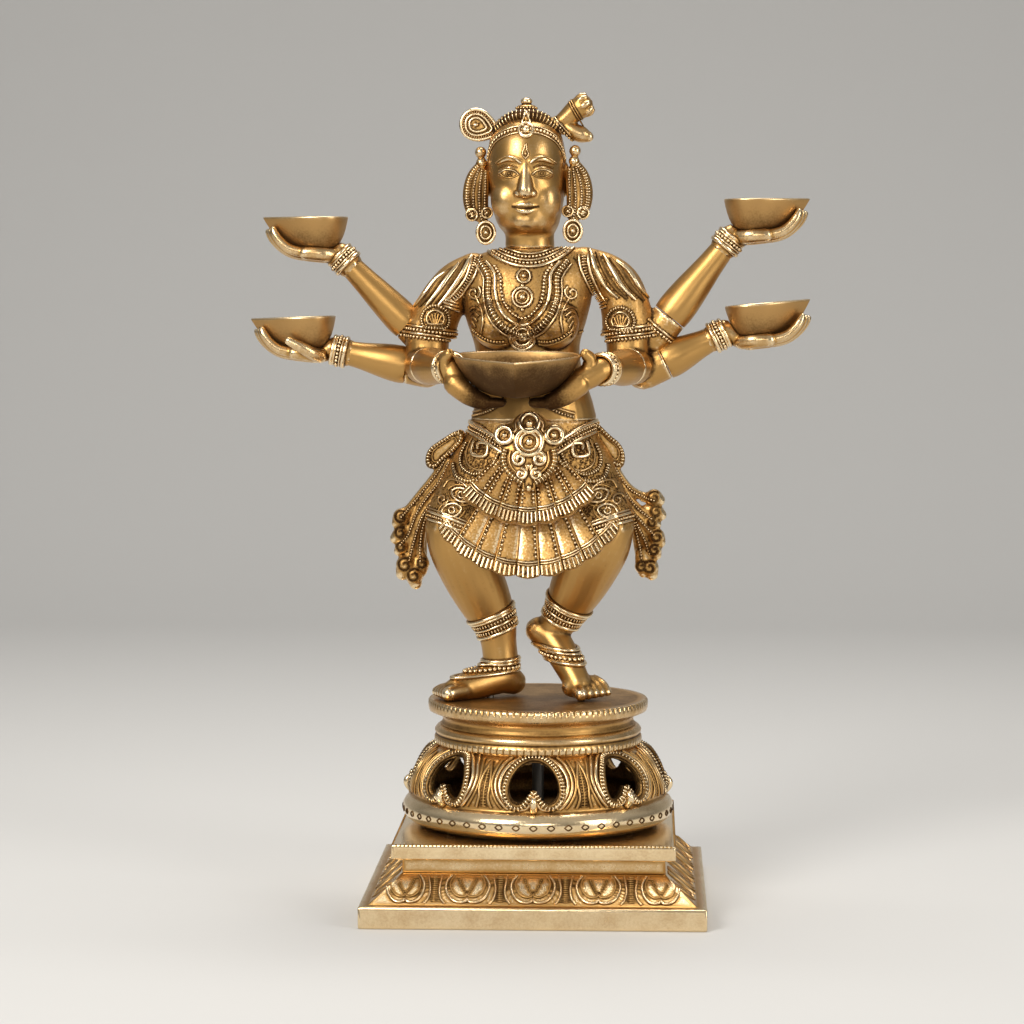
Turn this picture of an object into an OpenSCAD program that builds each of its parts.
// Brass lamp figure with six arms: five leaf-shaped oil bowls rest loose in the hands,
// the figure stands on a disc, an openwork lotus drum and a square stepped plinth.
// Millimetres, +Z up, the figure faces -Y, origin on the floor under the middle of the arms' span.

/* [Plinth] */
// Width of the square bottom slab
foot_w = 223; // [190:1:260]
// Height of the bottom slab
foot_h = 14.2; // [10:0.2:20]
// Width of the petal band where it leaves the slab
band_low_w = 212; // [185:1:245]
// Width of the petal band at its top
band_top_w = 171; // [150:1:185]
// Height of the petal band
band_h = 17.4; // [12:0.2:24]
// Height of the recessed neck under the cap slab
cap_neck_h = 9.6; // [6:0.2:14]
// Width of the cap slab
cap_w = 183; // [160:1:210]
// Height of the cap slab
cap_h = 9.8; // [7:0.2:14]
// Wall of the hollow castings
wall = 5; // [3.5:0.5:8]

/* [Lotus drum and disc] */
// How far the drum's bottom ring stays inside the sides of the cap slab
drum_inset = 1; // [0.4:0.1:12]
// Height of the bottom ring
drum_ring_h = 20.5; // [14:0.5:26]
// Height of the openwork petals
petal_h = 33; // [26:0.5:42]
// Number of heart-shaped openings round the drum
petal_n = 8; // [6:1:10]
// Width of one heart-shaped opening
heart_w = 31; // [22:0.5:34]
// Height of one heart-shaped opening
heart_h = 24; // [16:0.5:27]
// Radius of the notched top ring
collar_r = 69.4; // [62:0.2:74]
// Height of the notched top ring
collar_h = 13; // [9:0.5:18]
// Radius of the disc that the figure stands on
disc_r = 73.4; // [66:0.2:80]
// Thickness of the disc's edge
disc_h = 8; // [6:0.2:12]
// Height of the hollowed neck under the disc
disc_neck_h = 9.4; // [6:0.2:14]

/* [Figure] */
// Height of the figure from the disc to the tip of the finial
figure_h = 398.5; // [360:0.5:440]
// Half width of the bust, without the arms
bust_half = 43.5; // [38:0.5:47]
// Half width of the body at its narrowest
waist_half = 35; // [30:0.5:38]
// Half width of the hips
hip_half = 63; // [56:0.5:68]
// Half width of the face
face_half = 25.6; // [23:0.2:28]
// Pleats in the upper apron
upper_pleats = 7; // [5:1:9]
// Pleats in the lower apron
lower_pleats = 9; // [7:1:11]

/* [Bowls] */
// Length of a side bowl from its back to the tip of the spout
bowl_l = 57; // [48:0.5:62]
// Width of a side bowl
bowl_w = 43; // [36:0.5:48]
// Height of a side bowl
bowl_h = 22.3; // [18:0.2:26]
// Length of the main bowl
main_l = 72; // [62:0.5:78]
// Width of the main bowl
main_w = 84; // [74:0.5:88]
// Height of the main bowl
main_h = 27; // [22:0.5:30]
// Wall of the bowls at the rim
bowl_wall = 2.2; // [1.6:0.1:3]

/* [Fits] */
// Gap between a loose bowl and the hand that carries it
bowl_gap = 0.45; // [0.35:0.05:0.8]
// Gap left at a brazed or bolted seam
seam = 0.12; // [0.05:0.01:0.25]
// Radial gap round a dowel, stud or rod
pin_gap = 0.12; // [0.05:0.01:0.25]
// Radius of the arm and wrist dowels
dowel_r = 2.5; // [1.5:0.1:3.5]
// Radius of the waist and neck dowels
body_dowel_r = 5; // [3:0.1:6.5]
// Radius of the tie rod
rod_r = 4; // [3:0.1:6]
// Radius of the studs in the feet
stud_r = 2.5; // [2:0.1:3.2]

/* [Hidden] */

brass = [0.80, 0.62, 0.30];
tan_brass = [0.74, 0.56, 0.30];
steel = [0.62, 0.62, 0.60];

// Levels of the base, one on the other
cap_z = foot_h + band_h;
slab_z = cap_z + cap_neck_h;
drum_z = slab_z + cap_h;
petal_z = drum_z + drum_ring_h;
collar_z = petal_z + petal_h;
neck_z = collar_z + collar_h;
disc_z = neck_z + disc_neck_h;
stand_z = disc_z + disc_h;
drum_r = cap_w / 2 - drum_inset;

// Everything on the disc is drawn in figure millimetres and set at the chosen height
fig = figure_h / 398.5;
// The lower left arm reaches further out than the right one, so the base stands off the middle
base_x = 5.7;
waist_z = 186;
neck_seam_z = 299;
chin_z = 312;
hair_z = 385.5;
head_x = -8;
neck_x = -5.7;

// Arms as [seam at the elbow, wrist]; the side arms lie in one plane
arm_y = 2;
ul_arm = [[-86.5, arm_y, 248.5], [-125.8, arm_y, 288.5]];
ll_arm = [[-87.4, arm_y, 221.5], [-127.6, arm_y, 230.1]];
ur_arm = [[87, arm_y, 254], [122.3, arm_y, 299.5]];
lr_arm = [[84, arm_y, 224.5], [115, arm_y, 239.6]];
lf_arm = [[-72.5, -18, 222], [-56, -51, 222]];
rf_arm = [[60, -18, 221.5], [44, -51, 221]];
elbow_r = 12;
wrist_r = 8;
front_wrist_r = 8.5;
cuff_r = 11;
cuff_l = 11;
dowel_l = 8;

// Where each bowl's lowest point lies, and how far its spout tips up
ul_bowl = [-148, arm_y, 297.9];
ll_bowl = [-155.9, arm_y, 231.7];
ur_bowl = [144.2, arm_y, 309.6];
lr_bowl = [146.7, arm_y, 240.7];
ul_tip = -0.3;
ll_tip = -2;
ur_tip = 0.3;
lr_tip = 5;
main_bowl_at = [-11.7, -60, 203.5];
main_tip = -5;
bowl_foot = 0.28;
bowl_n = 16;
lift = 30;
main_lift = 45;
main_way = [0, -0.643, 0.766];

left_foot_pin = [-32, -3];
right_foot_pin = [29, -13];
fan_x = -5;
clasp_x = -4;
fan_z = 183;

// Points on a curve that runs through the rows of a list
function spline(rows, t) = let (
    n = len(rows),
    i = max(0, min(floor(t), n - 2)),
    u = t - i,
    p0 = rows[max(i - 1, 0)],
    p1 = rows[i],
    p2 = rows[i + 1],
    p3 = rows[min(i + 2, n - 1)]
) 0.5 * (2 * p1 + (p2 - p0) * u + (2 * p0 - 5 * p1 + 4 * p2 - p3) * u * u
    + (3 * p1 - p0 - 3 * p2 + p3) * u * u * u);

function unit(v) = v / norm(v);

function mean(ring) = [for (c = [0:2]) [for (p = ring) 1] * [for (p = ring) p[c]] / len(ring)];

// Closed skin over rings of equal length, each capped at its ends
module skin(rings) {
    n = len(rings[0]);
    m = len(rings);
    sides = [for (k = [0:m - 2]) for (i = [0:n - 1]) let (
        a = k * n + i,
        b = k * n + (i + 1) % n
    ) each [[a, a + n, b + n], [a, b + n, b]]];
    caps = [for (i = [0:n - 1]) let (j = (i + 1) % n)
        each [[m * n, i, j], [m * n + 1, (m - 1) * n + j, (m - 1) * n + i]]];
    points = concat([for (r = rings) each r], [mean(rings[0]), mean(rings[m - 1])]);
    polyhedron(points, concat(sides, caps), convexity = 6);
}

// Body sections from rows of [z, centre x, centre y, half width, front depth, back depth]
function sections(rows, steps, sides, grow = 0) = [for (s = [0:steps]) let (
    r = spline(rows, s * (len(rows) - 1) / steps)
) [for (i = [0:sides - 1]) let (a = i * 360 / sides)
    [r[1] + (r[3] + grow) * cos(a), r[2] + ((sin(a) < 0 ? r[4] : r[5]) + grow) * sin(a), r[0]]]];

// Limb sections from rows of [x, y, z, radius], square to the path
function tube(rows, steps, sides, grow = 0) = [for (s = [0:steps]) let (
    t = s * (len(rows) - 1) / steps,
    p = spline(rows, t),
    q = spline(rows, t + 0.02) - spline(rows, t - 0.02),
    d = unit([q[0], q[1], q[2]]),
    u = unit(cross([0.05, 1, 0.02], d)),
    v = cross(d, u)
) [for (i = [0:sides - 1]) let (a = i * 360 / sides)
    [p[0], p[1], p[2]] + (p[3] + grow) * (cos(a) * u + sin(a) * v)]];

module ball(p, r, f = 6) {
    translate(p) sphere(r, $fn = f);
}

// One rounded bar between two points, with a radius at each end
module bar(p, q, r1, r2, f = 5) {
    hull() {
        ball(p, r1, f);
        ball(q, r2, f);
    }
}

// Runs its children along the line from p to q, with z along the line
module along(p, q) {
    d = unit(q - p);
    translate(p) rotate([0, acos(d[2]), atan2(d[1], d[0])]) children();
}

module set_figure() {
    translate([base_x, 0, stand_z]) scale(fig) children();
}

module set_base() {
    translate([base_x, 0, 0]) children();
}

// Square frustum between two levels
module frustum(w1, w2, z1, z2) {
    a = w1 / 2;
    b = w2 / 2;
    polyhedron([[-a, -a, z1], [a, -a, z1], [a, a, z1], [-a, a, z1],
        [-b, -b, z2], [b, -b, z2], [b, b, z2], [-b, b, z2]],
        [[0, 1, 2, 3], [7, 6, 5, 4], [0, 4, 5, 1], [1, 5, 6, 2], [2, 6, 7, 3], [3, 7, 4, 0]]);
}

module rod_hole(z1, z2) {
    translate([0, 0, z1]) cylinder(h = z2 - z1, r = rod_r + pin_gap, $fn = 32);
}

// Base

module plinth_foot() {
    color(brass) set_base() difference() {
        union() {
            frustum(foot_w, foot_w, 0, foot_h);
            frustum(band_low_w, band_top_w, foot_h - 0.01, cap_z);
        }
        frustum(band_low_w - 2 * wall, band_top_w - 4 * wall, -0.01, cap_z - wall);
        rod_hole(0, cap_z + 1);
    }
}

module plinth_cap() {
    inner = band_top_w - 4 * wall;
    color(brass) set_base() difference() {
        union() {
            translate([0, 0, cap_z + seam]) linear_extrude(cap_neck_h - seam + 0.01)
                square(band_top_w - 1, center = true);
            translate([0, 0, slab_z]) linear_extrude(cap_h) square(cap_w, center = true);
        }
        translate([0, 0, cap_z]) linear_extrude(cap_neck_h) square(inner, center = true);
        rod_hole(cap_z, drum_z + 1);
    }
}

// Outline of the drum's outer face from the bottom up, as [radius, height]
drum_outer = [[drum_r - 15, drum_z + seam], [drum_r - 6, drum_z + 3], [drum_r - 1, drum_z + 7],
    [drum_r, drum_z + 11], [drum_r - 0.6, drum_z + 15], [drum_r - 4, petal_z - 1.5],
    [drum_r - 6.5, petal_z], [drum_r - 5, petal_z + petal_h * 0.14],
    [drum_r - 5.5, petal_z + petal_h * 0.32], [drum_r - 9, petal_z + petal_h * 0.58],
    [drum_r - 15.5, petal_z + petal_h * 0.84], [collar_r - 3.4, collar_z],
    [collar_r - 0.6, collar_z + 0.8], [collar_r, collar_z + collar_h * 0.3],
    [collar_r - 1.2, collar_z + collar_h * 0.52], [collar_r - 0.4, collar_z + collar_h * 0.72],
    [collar_r - 3.4, neck_z]];

module lotus_drum() {
    color(brass) set_base() difference() {
        rotate_extrude($fn = 96) polygon(concat(drum_outer,
            [for (i = [len(drum_outer) - 1:-1:0]) [drum_outer[i][0] - wall * 1.3, drum_outer[i][1]]]));
        for (i = [0:petal_n - 1]) rotate([0, 0, i * 360 / petal_n])
            translate([0, 0, petal_z + petal_h * 0.17]) rotate([90, 0, 0])
                translate([0, 0, collar_r - 25]) linear_extrude(60) heart_shape();
    }
}

// Round-topped opening with a point rising from its lower edge
module heart_shape() {
    half = heart_w / 2;
    side = [[0.155, 0.19], [0.335, 0.062], [0.57, 0], [0.8, 0.042], [0.965, 0.183], [1, 0.375], [0.93, 0.604],
        [0.735, 0.8], [0.45, 0.94], [0.155, 1]];
    right = [for (p = side) [p[0] * half, p[1] * heart_h]];
    left = [for (i = [len(side) - 1:-1:0]) [-side[i][0] * half, side[i][1] * heart_h]];
    polygon(concat([[0, heart_h * 0.333]], right, left));
}

module standing_disc() {
    low = collar_r - 4;
    color(brass) set_base() difference() {
        rotate_extrude($fn = 96) polygon([[rod_r + pin_gap, disc_z - 6], [rod_r + 6, disc_z - 6],
            [rod_r + 8, disc_z], [low - 8, disc_z], [low - 8, neck_z + seam], [low, neck_z + seam],
            [low - 1.5, neck_z + disc_neck_h * 0.3], [low - 0.5, neck_z + disc_neck_h * 0.65],
            [disc_r - 2.5, disc_z - 0.4], [disc_r - 0.4, disc_z + 0.6], [disc_r, stand_z - 1.2],
            [disc_r - 0.8, stand_z], [0, stand_z], [0, stand_z - wall * 0.8],
            [rod_r + pin_gap, stand_z - wall * 0.8]]);
        for (p = [left_foot_pin, right_foot_pin]) translate([p[0] * fig, p[1] * fig, disc_z - 1])
            cylinder(h = disc_h + 2, r = stud_r + pin_gap, $fn = 32);
    }
}

// Hidden hardware

rod_top = stand_z - wall * 0.8 - 0.5;
web_z = cap_z - wall;
washer_h = 2;
nut_h = 6.5;

module tie_rod() {
    color(steel) set_base() translate([0, 0, web_z - washer_h - nut_h - 3])
        cylinder(h = rod_top - web_z + washer_h + nut_h + 3, r = rod_r, $fn = 32);
}

module tie_nut() {
    color(steel) set_base() translate([0, 0, web_z - washer_h - nut_h - 2 * seam]) difference() {
        cylinder(h = nut_h, r = rod_r * 1.85, $fn = 6);
        translate([0, 0, -1]) cylinder(h = nut_h + 2, r = rod_r + pin_gap, $fn = 32);
    }
}

module tie_washer() {
    color(steel) set_base() translate([0, 0, web_z - washer_h - seam]) difference() {
        cylinder(h = washer_h, r = rod_r * 2.6, $fn = 48);
        translate([0, 0, -1]) cylinder(h = washer_h + 2, r = rod_r + pin_gap, $fn = 32);
    }
}

stud_nut_h = 4;
stud_up = 9;

module foot_studs() {
    color(steel) set_base() for (p = [left_foot_pin, right_foot_pin])
        translate([p[0] * fig, p[1] * fig, disc_z - stud_nut_h - 1.5])
            cylinder(h = disc_h + stud_nut_h + 1.5 + stud_up, r = stud_r, $fn = 32);
}

module foot_nuts() {
    color(steel) set_base() for (p = [left_foot_pin, right_foot_pin])
        translate([p[0] * fig, p[1] * fig, disc_z - stud_nut_h - seam]) difference() {
            cylinder(h = stud_nut_h, r = stud_r * 1.9, $fn = 6);
            translate([0, 0, -1]) cylinder(h = stud_nut_h + 2, r = stud_r + pin_gap, $fn = 32);
        }
}

// Pin that sits half in each of two pieces that meet at p on the line to q
module seam_pin(p, q, r, half) {
    d = unit(q - p);
    along(p - d * half, q) cylinder(h = 2 * half, r = r, $fn = 24);
}

arms = [ul_arm, ll_arm, ur_arm, lr_arm, lf_arm, rf_arm];
side_arms = [ul_arm, ll_arm, ur_arm, lr_arm];

module arm_dowels() {
    color(steel) set_figure() for (a = arms) seam_pin(a[0], a[1], dowel_r, dowel_l);
}

module wrist_dowels() {
    color(steel) set_figure() for (a = side_arms)
        seam_pin(a[1], 2 * a[1] - a[0], dowel_r * 0.8, dowel_l * 0.8);
}

module waist_dowel() {
    color(steel) set_figure() translate([-3, 2, waist_z - 20]) cylinder(h = 40, r = body_dowel_r, $fn = 32);
}

module neck_dowel() {
    color(steel) set_figure() translate([neck_x, 2, neck_seam_z - 12])
        cylinder(h = 24, r = body_dowel_r, $fn = 32);
}

// Bore for a waist or neck dowel
module body_bore(h) {
    cylinder(h = h, r = (body_dowel_r + pin_gap) / cos(18), $fn = 10);
}

// Figure, in figure millimetres above the disc

hip_rows = [[112, -6, -2, hip_half - 12, 26, 26], [122, -6, 0, hip_half - 2, 33, 32],
    [136, -5.5, 1, hip_half, 38, 34], [150, -4.5, 2, hip_half - 3, 38, 33],
    [165, -3.5, 2, hip_half - 10, 35, 31], [176, -3, 2, 45, 32, 29],
    [waist_z - seam, -3, 2, 42, 30, 27]];

module thighs(grow = 0) {
    for (side = [-1, 1]) {
        x = side < 0 ? -6 : -4;
        bar([x + side * 30, 2, 142], [x + side * 47, -17, 118], 27 + grow, 20.5 + grow, 8);
        bar([x + side * 46, -12, 126], [x + side * 49, -18, 113], 20 + grow, 18.5 + grow, 7);
    }
}

module lower_core(grow = 0) {
    skin(sections(hip_rows, 6, 16, grow));
    thighs(grow);
}

left_leg = [[-55, -19, 118, 19], [-52, -16, 104, 20.5], [-44, -8, 84, 20], [-36, -1, 66, 18],
    [-29, 3, 50, 14.5], [-26.5, 4, 36, 12], [-24, 5, 20, 12]];
right_leg = [[45, -19, 118, 19], [41, -16, 104, 20.5], [32, -6, 86, 20], [24, 1, 70, 17.5],
    [17, 6, 56, 13.5], [11, 9, 46, 11.5]];

// A raised band round a limb at one point of its path
module anklet(p, q, r, w) {
    along(p, q) rotate_extrude($fn = 11) polygon([[r - 4, -w], [r + 0.8, -w], [r + 0.8, w], [r - 4, w]]);
}

module left_foot() {
    hull() {
        ball([-19, 6, 10], 10.5);
        ball([-27, 2, 20], 12.5);
        ball([-44, -8, 8], 11);
    }
    hull() {
        ball([-44, -8, 8], 11);
        ball([-58, -18, 5], 8.5);
        ball([-60, -7, 5], 7);
    }
    for (i = [0:4]) bar([-58 - i * 0.6, -18 + i * 3.2, 5], [-66 + i * 0.9, -22.5 + i * 3.7, 4],
        4.2 - i * 0.4, 3.6 - i * 0.4, 4);
}

module right_foot() {
    hull() {
        ball([0, 10, 44], 9.5);
        ball([12, 7, 42], 11.5);
        ball([22, -6, 20], 10);
    }
    hull() {
        ball([22, -6, 20], 10);
        ball([27, -14, 8], 9);
        ball([35, -9, 8], 8);
    }
    for (i = [0:4]) bar([26 + i * 3.2, -17 + i * 1.9, 6], [29 + i * 4, -23 + i * 2.1, 4.5],
        4.4 - i * 0.4, 3.8 - i * 0.4, 4);
}

module lower_body() {
    color(brass) difference() {
        set_figure() intersection() {
            union() {
                lower_core();
                skin(tube(left_leg, 7, 9));
                skin(tube(right_leg, 6, 9));
                left_foot();
                right_foot();
                anklet([-29, 3, 51], [-32, 2, 58], 15, 6.5);
                anklet([-27, 3, 27], [-33, 3, 45], 15.5, 4.5);
                anklet([16, 6.5, 56], [21, 3, 66], 14, 5.5);
                anklet([21, -3, 26], [13, 5, 40], 13, 5);
            }
            translate([-150, -150, seam]) cube([300, 300, waist_z - 2 * seam]);
        }
        set_figure() translate([-3, 2, waist_z - 21]) body_bore(30);
        set_base() for (p = [left_foot_pin, right_foot_pin]) translate([p[0] * fig, p[1] * fig, stand_z - 1])
            cylinder(h = stud_up + 2, r = (stud_r + pin_gap) / cos(22.5), $fn = 8);
    }
}

// One fan of pleats that hangs from the waist, each pleat lapping over the next
module fan(count, spread, r1, r2, y1, y2, lap, drop, grow) {
    step = 2 * spread / count;
    for (i = [0:count - 1]) {
        a = -spread + i * step;
        hull() for (end = [0, 1]) for (e = [0, 1]) {
            b = a + e * step * 1.04;
            r = end == 0 ? r1 : r2 - drop * pow(b / spread, 2);
            y = (end == 0 ? y1 : y2) + (abs(b) / spread) * (abs(b) / spread) * 12 - e * lap;
            translate([fan_x + r * sin(b), y, fan_z - r * cos(b)]) cube(2.2 + 2 * grow, center = true);
            translate([fan_x + r * sin(b), y + 9, fan_z - r * cos(b)]) cube(2.2 + 2 * grow, center = true);
        }
    }
}

module lower_fan(grow = 0) {
    fan(lower_pleats, 42, 40, 97, -34, -47, 2.4, 8, grow);
}

module upper_fan(grow = 0) {
    fan(upper_pleats, 46, 20, 61, -35, -53, 2.2, 0.5, grow);
}

module apron_lower() {
    color(brass) set_figure() difference() {
        lower_fan();
        lower_core(seam);
        skin(tube(left_leg, 7, 9, seam));
        skin(tube(right_leg, 6, 9, seam));
    }
}

module apron_upper() {
    color(brass) set_figure() difference() {
        upper_fan();
        lower_core(seam);
        lower_fan(seam);
    }
}

module girdle_buckle() {
    color(brass) set_figure() difference() {
        union() {
            bar([clasp_x, -30, 182], [clasp_x, -35, 182], 5.5, 4.5, 6);
            bar([clasp_x, -34, 170], [clasp_x, -41, 170], 8.5, 7, 8);
            bar([clasp_x - 18, -28, 174], [clasp_x - 18, -34, 174], 5.5, 4.5, 6);
            bar([clasp_x + 18, -28, 174], [clasp_x + 18, -34, 174], 5.5, 4.5, 6);
            for (e = [-1, 1]) {
                bar([clasp_x + e * 18, -34, 167], [clasp_x + e * 12, -45, 150], 4.5, 4.5);
                bar([clasp_x + e * 12, -45, 150], [clasp_x, -50, 141], 4.5, 3);
            }
            hull() {
                ball([clasp_x - 15, -34, 170], 5);
                ball([clasp_x + 15, -34, 170], 5);
                ball([clasp_x, -31, 178], 5);
                ball([clasp_x, -49, 146], 4.5);
            }
        }
        lower_core(seam);
        torso_core(3 * seam);
        upper_fan(seam);
    }
}

// Waist cloth end: a flap at the hip, three strands and a tuft of curled tips
module sash(s, x) {
    top = [x + s * 44, -4, 174];
    flap = [x + s * 66, -4, 160];
    mid = [x + s * 66, 0, 140];
    low = [x + s * 77, 2, 113];
    bar(top, flap, 6, 7);
    bar(top - [0, 0, 10], mid, 6, 5);
    bar(flap, mid, 4, 4);
    bar(mid, low, 5, 4.5);
    bar(mid - [s * 4, 0, 4], low - [s * 7, 0, 4], 4.5, 4);
    bar(low, low + [s * 11, 0, 6], 4.5, 5.5);
    bar(low, low + [s * 11, 0, -8], 4.5, 5.5);
    bar(low, low + [s * 5, 0, -30], 5, 6);
    bar(low - [s * 7, 0, 4], low + [-s * 2, 0, -34], 4.5, 5.5);
    bar(low - [s * 7, 0, 4], low + [-s * 8, 0, -20], 4.5, 5);
}

module left_sash() {
    color(brass) set_figure() difference() {
        sash(-1, -5);
        lower_core(seam);
        skin(tube(left_leg, 7, 9, seam));
    }
}

module right_sash() {
    color(brass) set_figure() difference() {
        translate([0, 0, 5]) sash(1, -8);
        lower_core(seam);
        skin(tube(right_leg, 6, 9, seam));
    }
}

torso_rows = [[waist_z + seam, -3, 2, 42, 30, 27], [200, -3, 2, waist_half + 3.5, 29, 25],
    [217, -5.5, 2, waist_half, 26, 24], [235, -7.5, 2, waist_half, 26, 25],
    [252, -8, 2, bust_half - 3.5, 29, 28], [267, -8, 2, bust_half, 30, 30],
    [283, -7.5, 2, bust_half, 25, 27], [292, -7, 2, bust_half - 6, 19, 22],
    [296.5, -6.5, 2, bust_half - 14, 16.6, 19],
    [neck_seam_z - seam, neck_x, 2, 18, 16, 16]];

// Shoulder, sleeve and elbow on one side
module sleeve(s) {
    x = head_x + 1;
    root = s > 0 ? [x + 37, 2, 289] : [x - 36, 2, 285];
    cap = s > 0 ? [x + 60.5, 1, 273.5] : [x - 54.5, 1, 267];
    hem = s > 0 ? x + 67 : x - 64.5;
    hull() {
        ball(root, 12, 8);
        ball(cap, 15.5, 8);
    }
    hull() {
        ball(cap, 15.5, 8);
        translate([hem, -1, 241]) rotate([0, s * 8, 0]) cylinder(h = 5, r = s > 0 ? 18 : 17, $fn = 16);
    }
    bar([x + s * 66.5, -3, 238], [x + s * 66.5, -6, 222], 14.8, 13.8, 7);
}

// Short stump of an arm, with a flat end where the forearm is fitted
module stump(arm, r, back) {
    d = unit(arm[1] - arm[0]);
    hull() {
        along(arm[0] - d * 6, arm[1]) cylinder(h = 6 - seam, r = r, $fn = 12);
        ball(arm[0] - d * back, r, 6);
    }
}

module torso_core(grow = 0) {
    skin(sections(torso_rows, 9, 16, grow));
}

module torso() {
    color(brass) set_figure() difference() {
        union() {
            torso_core();
            for (s = [-1, 1]) {
                hull() {
                    ball([head_x + s * 18, -20, 249], 16, 9);
                    ball([head_x + s * 17, -12, 264], 12, 6);
                }
                sleeve(s);
            }
            stump(ul_arm, elbow_r - 1, 16);
            stump(ll_arm, elbow_r, 14);
            stump(ur_arm, elbow_r, 18);
            stump(lr_arm, elbow_r, 16);
            stump(lf_arm, elbow_r, 9);
            stump(rf_arm, elbow_r, 9);
        }
        for (a = arms) along(a[0], a[1]) translate([0, 0, -dowel_l - 0.5])
            cylinder(h = dowel_l + 2, r = (dowel_r + pin_gap) / cos(30), $fn = 6);
        for (a = arms) {
            d = unit(a[1] - a[0]);
            along(a[0] - d * seam, a[1]) cylinder(h = 12, r = elbow_r + 6, $fn = 8);
            along(a[0] - d * seam, a[1]) cylinder(h = 30, r = elbow_r + 0.4 + 6 * seam, $fn = 16);
        }
        translate([-3, 2, waist_z - 1]) body_bore(22);
        translate([neck_x, 2, neck_seam_z - 13]) body_bore(14);
    }
}

head_rows = [[neck_seam_z + seam, neck_x, 2, 16.6, 15, 15], [306, neck_x, 2, 16.2, 15, 14.5],
    [311, -6, 1, 17, 19, 16], [314.5, -6.6, 0, 18.5, 25.5, 20], [323, -7, 0, 22.5, 27.5, 24],
    [335, -7.5, 0, face_half - 0.8, 28, 27], [349, head_x, 0, face_half, 28, 29],
    [363, head_x, 1, face_half, 27.5, 29], [373, head_x, 2, face_half - 2, 24, 27],
    [381, head_x, 3, face_half - 6, 20, 22], [hair_z, head_x, 3, face_half - 13, 14.5, 13]];

module head_core(grow = 0) {
    skin(sections(head_rows, 10, 16, grow));
}

module head() {
    color(brass) set_figure() difference() {
        union() {
            head_core();
            bar([head_x, -27.5, 357], [head_x + 0.5, -32, 338], 2, 3.4);
            bar([head_x - 4, -28.5, 336], [head_x + 5, -28.5, 336], 2.6, 2.6);
            bar([head_x - 5.5, -27.5, 326.5], [head_x + 6.5, -27.5, 326.5], 1.8, 1.8, 4);
            bar([head_x - 4.5, -27.5, 322.5], [head_x + 5.5, -27.5, 322.5], 2.2, 2.2, 4);
            for (s = [-1, 1]) {
                bar([head_x + s * 8, -25.5, 350], [head_x + s * 17, -21, 350], 3, 2.2);
                bar([head_x + s * 4, -26.5, 359], [head_x + s * 19, -20.5, 359.5], 1.4, 1.2, 4);
                bar([head_x + s * 25, 2, 356], [head_x + s * 27, 4, 334], 4, 3.5);
            }
            for (i = [-3:3]) bar([head_x + i * 6.4, -24 + i * i * 1.5, 372 - i * i * 0.9],
                [head_x + i * 5.4, -11.5 + i * i * 0.6, 387.6 - i * i * 0.7], 2.8, 2.4, 4);
            ball([head_x + 0.5, -24.5, 371], 4.2, 8);
        }
        translate([neck_x, 2, neck_seam_z - 1]) body_bore(14);
        translate([head_x, 3, hair_z - 7]) cylinder(h = 10, r = (dowel_r + pin_gap) / cos(22.5), $fn = 8);
        translate([head_x - 9, -6, hair_z - 0.6]) cube([18, 18, 10]);
    }
}

module crown_finial() {
    tip = 398.5 - hair_z;
    color(brass) set_figure() translate([head_x, 3, hair_z - 0.6 + seam]) union() {
        rotate_extrude($fn = 32) polygon([[0, 0], [7.5, 0], [8, 1.5], [6.8, 3], [5.2, 3.6], [5.8, 5],
            [5.2, 6.6], [3.4, 7.4], [3.6, 9], [2.6, 11], [1, tip + 0.4], [0, tip + 0.6 - seam]]);
        translate([0, 0, -5.5]) cylinder(h = 6, r = dowel_r, $fn = 24);
    }
}

// Teardrop plate with two steps, leaning out from the hair
module hair_paisley() {
    color(brass) set_figure() difference() {
        translate([head_x - 31, 4, 379]) rotate([90, 18, 0]) union() {
            for (k = [0:2]) translate([0, 0, -5 + k * 2.2]) hull() {
                translate([-4 + k, 0, 0]) cylinder(h = 6 - k, r = 10.5 - k * 3, $fn = 14);
                translate([15 - k * 3, -2, 0]) cylinder(h = 6 - k, r = 2.5, $fn = 7);
            }
        }
        head_core(seam);
    }
}

module hair_knot() {
    root = [head_x + 19, 5, 378];
    tie = [head_x + 25, 4, 382];
    tip = [head_x + 39, 3, 390];
    color(brass) set_figure() difference() {
        union() {
            bar(root, tie, 6, 5.5, 7);
            bar(tie, tip, 6, 7.5, 7);
            bar(tie, tie + [12, 0, -7], 5.5, 6.5, 6);
            for (i = [0:4]) bar(tip, tip + [5, 5.5 * cos(i * 72), 5.5 * sin(i * 72)], 4, 2.6, 4);
            along(root + [2, 0, 1.5], tie) rotate_extrude($fn = 10) translate([6.4, 0]) circle(1.4, $fn = 4);
        }
        head_core(seam);
    }
}

// Looped ear ornament: stud, long loop and a rosette that hangs by the jaw
module ear_drop(s) {
    x = head_x + s * 28;
    ball([x + s * 2.5, 0, 363], 4, 8);
    bar([x + s * 2.5, 0, 363], [x + s * 3, 0, 352], 3, 3);
    bar([x + s * 3, 0, 352], [x + s * 9, -1, 344], 3, 4.5);
    bar([x + s * 9, -1, 344], [x + s * 10.5, -2, 330], 4.5, 4);
    bar([x + s * 10.5, -2, 330], [x + s * 7, -4, 318], 4, 3.6);
    bar([x + s * 3, -2, 344], [x + s * 4, -3, 322], 3, 3);
    bar([x + s * 4, -3, 322], [x + s * 1.5, -5, 316], 3, 3);
    bar([x + s * 7, -4, 318], [x + s * 2, -6, 314], 3.6, 3);
    bar([x + s * 0.5, -6, 346], [x + s * 0.5, -8, 322], 3, 3);
    bar([x + s * 0.5, -6, 311], [x + s * 0.5, -10, 311], 7, 5.4, 8);
}

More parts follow.
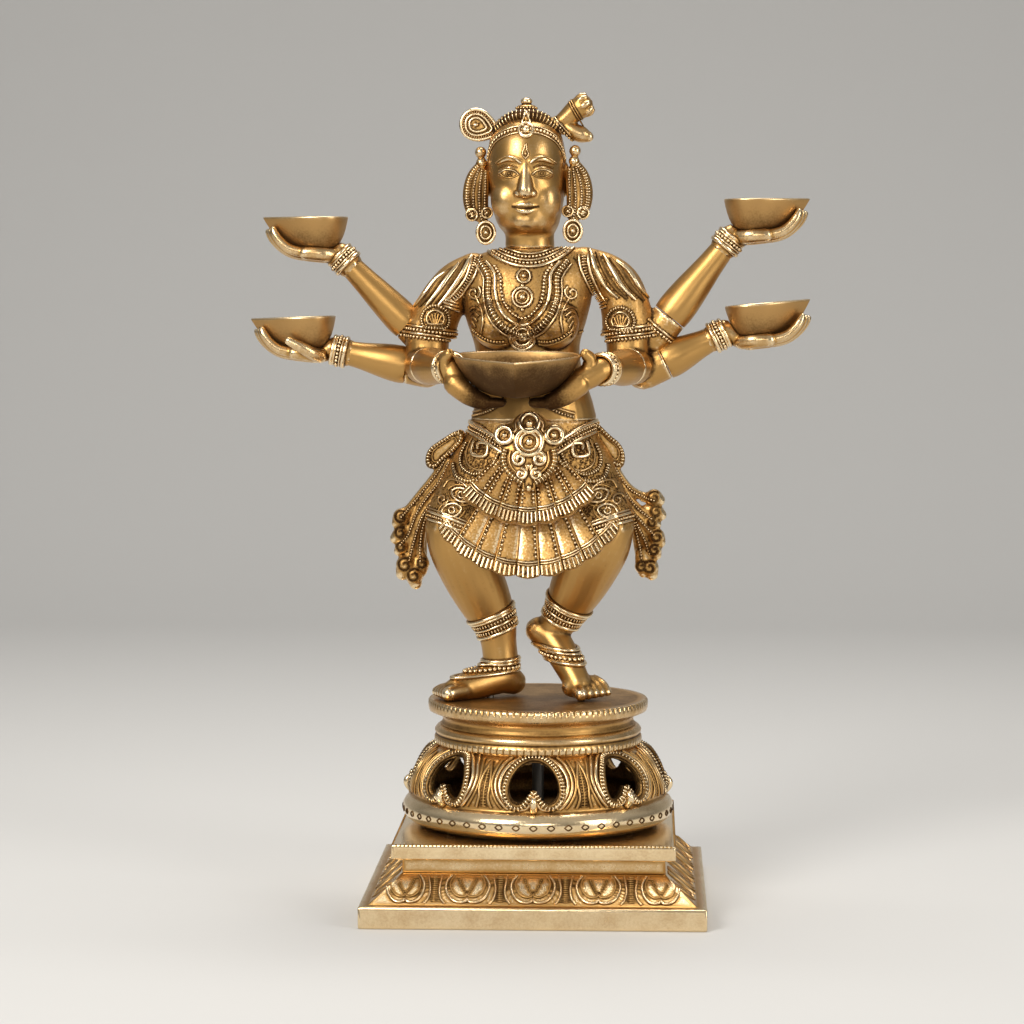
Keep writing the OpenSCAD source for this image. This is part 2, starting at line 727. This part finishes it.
module head_ear_side() {
    head_core(seam);
    for (s = [-1, 1]) bar([head_x + s * 25, 2, 356], [head_x + s * 27, 4, 334], 4 + seam, 3.5 + seam);
}

module left_ear_drop() {
    color(brass) set_figure() difference() {
        ear_drop(-1);
        head_ear_side();
    }
}

module right_ear_drop() {
    color(brass) set_figure() difference() {
        translate([1, 0, 1]) ear_drop(1);
        head_ear_side();
    }
}

// Arms

// Tapered forearm with a slight swell, bored for its dowels
module forearm(arm, r1, r2) {
    l = norm(arm[1] - arm[0]);
    along(arm[0], arm[1]) difference() {
        rotate_extrude($fn = 40) polygon([[0, 0], [r1, 0], [r1 + 0.4, l * 0.12], [r1 - 0.4, l * 0.35],
            [r2 + 0.9, l * 0.75], [r2, l - seam], [0, l - seam]]);
        translate([0, 0, -1]) cylinder(h = dowel_l + 1.5, r = dowel_r + pin_gap, $fn = 24);
        translate([0, 0, l - dowel_l * 0.8 - 0.5])
            cylinder(h = dowel_l, r = dowel_r * 0.8 + pin_gap, $fn = 24);
    }
}

module upper_left_forearm() {
    color(brass) set_figure() forearm(ul_arm, elbow_r - 1, wrist_r - 0.5);
}

module lower_left_forearm() {
    color(brass) set_figure() forearm(ll_arm, elbow_r, wrist_r);
}

module upper_right_forearm() {
    color(brass) set_figure() forearm(ur_arm, elbow_r, wrist_r);
}

module lower_right_forearm() {
    color(brass) set_figure() forearm(lr_arm, elbow_r, wrist_r);
}

// Bowls: leaf-shaped in plan, spout along +x, lowest point at the origin

function leaf(t, l, w) = [l / 2 * cos(t), w / 2 * sin(t) * sin(abs(t) / 2) / 0.77];

function bowl_ring(level, l, w, h, grow) = let (
    s = level <= 0 ? bowl_foot : max(bowl_foot, pow(level, 0.28)),
    x = l * 0.12 * pow(max(level, 0), 0.6)
) [for (i = [0:bowl_n - 1]) let (p = leaf(i * 360 / bowl_n, l + 2 * grow, w + 2 * grow))
    [x + p[0] * s, p[1] * s, h * level - grow * (1 - level)]];

levels = [0, 0.09, 0.3, 0.62, 1];

module bowl(l, w, h) {
    outer = [for (k = levels) bowl_ring(k, l, w, h, 0)];
    t = bowl_wall;
    inner = [for (k = [len(levels) - 1:-1:0])
        [for (p = bowl_ring(levels[k], l - 2 * t, w - 2 * t, h - t, 0)) p + [0, 0, t]]];
    skin(concat(outer, inner));
}

// Space that a bowl sweeps as it is lifted out of the hand
module bowl_path(l, w, h, way) {
    hull() {
        skin([for (k = levels) bowl_ring(k, l, w, h, bowl_gap)]);
        translate(way * lift) skin([for (k = levels) bowl_ring(k, l, w, h, bowl_gap)]);
    }
}

module side_bowl(at, tip, s) {
    translate(at) rotate([0, 0, s > 0 ? 0 : 180]) rotate([0, -tip, 0]) bowl(bowl_l, bowl_w, bowl_h);
}

module upper_left_bowl() {
    color(tan_brass) set_figure() side_bowl(ul_bowl, ul_tip, -1);
}

module lower_left_bowl() {
    color(tan_brass) set_figure() side_bowl(ll_bowl, ll_tip, -1);
}

module upper_right_bowl() {
    color(tan_brass) set_figure() side_bowl(ur_bowl, ur_tip, 1);
}

module lower_right_bowl() {
    color(tan_brass) set_figure() side_bowl(lr_bowl, lr_tip, 1);
}

module main_bowl() {
    color(tan_brass) set_figure() translate(main_bowl_at) rotate([0, 0, -90]) rotate([0, -main_tip, 0])
        bowl(main_l, main_w, main_h);
}

// Hand under a side bowl; the cuff faces the forearm, fingers follow the spout
module side_hand(arm, at, tip, s, thumb = 1) {
    d = unit(arm[1] - arm[0]);
    c = arm[1] + d * cuff_l;
    k = [s * (c[0] - at[0]), c[1] - at[1], c[2] - at[2]];
    difference() {
        union() {
            along(arm[1] + d * seam, c) rotate_extrude($fn = 12) polygon([[0, 0], [cuff_r, 0],
                [cuff_r, 4], [cuff_r - 1.4, 5.5], [cuff_r, 7], [cuff_r - 2, cuff_l], [0, cuff_l]]);
            translate(at) mirror([s > 0 ? 0 : 1, 0, 0]) {
                hull() {
                    ball(k, 8, 8);
                    ball([-7, -6.5, -3], 4.6);
                    ball([-7, 6.5, -3], 4.6);
                    ball([7, 0, -2.6], 4.8);
                }
                for (f = [-1.5:1:1.5]) hull() {
                    ball([3, f * 5.4, -3.6], 3.4, 5);
                    ball([18, f * 4.8, -1.2], 3.3, 5);
                    ball([31.5, f * 3.6, 10.8], 2.6, 5);
                }
                bar([-10, thumb * 9, -4], [-4, thumb * 15, 0.5], 4.4, 4);
                bar([-4, thumb * 15, 0.5], [8.5, thumb * 18.5, 6.6], 4, 3.2);
            }
        }
        translate(at) rotate([0, 0, s > 0 ? 0 : 180]) rotate([0, -tip, 0])
            bowl_path(bowl_l, bowl_w, bowl_h, [0, 0, 1]);
        along(arm[1], c) translate([0, 0, -1])
            cylinder(h = dowel_l * 0.8 + 1.5, r = (dowel_r * 0.8 + pin_gap) / cos(22.5), $fn = 8);
        along(arm[1] - d * 20 + d * seam, c) cylinder(h = 20, r = cuff_r + 10, $fn = 16);
    }
}

module upper_left_hand() {
    color(brass) set_figure() side_hand(ul_arm, ul_bowl, ul_tip, -1);
}

module lower_left_hand() {
    color(brass) set_figure() side_hand(ll_arm, ll_bowl, ll_tip, -1, -1);
}

module upper_right_hand() {
    color(brass) set_figure() side_hand(ur_arm, ur_bowl, ur_tip, 1);
}

module lower_right_hand() {
    color(brass) set_figure() side_hand(lr_arm, lr_bowl, lr_tip, 1);
}

// Forearm, bangle and hand that carries one end of the main bowl
module front_arm(arm, s) {
    d = unit(arm[1] - arm[0]);
    w = arm[1];
    m = main_bowl_at;
    difference() {
        union() {
            hull() {
                along(arm[0] + d * seam, w) cylinder(h = 2, r = elbow_r, $fn = 16);
                ball(w, front_wrist_r, 10);
            }
            along(w - d * 4, w) rotate_extrude($fn = 14) polygon([[0, 0], [front_wrist_r + 1.5, 0],
                [front_wrist_r + 3, 2.5], [front_wrist_r + 3, 5.5], [front_wrist_r + 1.5, 8], [0, 8]]);
            hull() {
                ball(w, front_wrist_r - 0.5, 8);
                ball([m[0] + s * 30, -62, 206], 7);
                ball([m[0] + s * 26, -54, 206], 7);
                ball([m[0] + s * 15, -60, 200], 6);
            }
            for (f = [-1.5:1:1.5]) hull() {
                ball([m[0] + s * 32, -61 + f * 6, 205.5], 4, 5);
                ball([m[0] + s * 22, -61 + f * 6, 201.6], 3.9, 5);
                ball([m[0] + s * 8, -63 + f * 6, 199.6], 3.6, 5);
            }
            bar([m[0] + s * 40, -59, 214], [m[0] + s * 44.5, -62, 226], 5, 4);
            bar([m[0] + s * 44.5, -62, 226], [m[0] + s * 45.5, -66, 233], 4, 3.4);
        }
        hull() for (t = [0, main_lift]) translate(m + t * main_way)
            rotate([0, 0, -90]) rotate([0, -main_tip, 0])
                skin([for (k = levels) bowl_ring(k, main_l, main_w, main_h, bowl_gap)]);
        along(arm[0], w) translate([0, 0, -1])
            cylinder(h = dowel_l + 1.5, r = (dowel_r + pin_gap) / cos(22.5), $fn = 8);
    }
}

module left_front_arm() {
    color(brass) set_figure() front_arm(lf_arm, -1);
}

module right_front_arm() {
    color(brass) set_figure() front_arm(rf_arm, 1);
}

plinth_foot();
plinth_cap();
lotus_drum();
standing_disc();
tie_rod();
tie_nut();
tie_washer();
foot_studs();
foot_nuts();
lower_body();
apron_lower();
apron_upper();
girdle_buckle();
left_sash();
right_sash();
torso();
head();
crown_finial();
hair_paisley();
hair_knot();
left_ear_drop();
right_ear_drop();
left_front_arm();
right_front_arm();
upper_left_forearm();
lower_left_forearm();
upper_right_forearm();
lower_right_forearm();
upper_left_hand();
lower_left_hand();
upper_right_hand();
lower_right_hand();
upper_left_bowl();
lower_left_bowl();
upper_right_bowl();
lower_right_bowl();
main_bowl();
waist_dowel();
neck_dowel();
arm_dowels();
wrist_dowels();
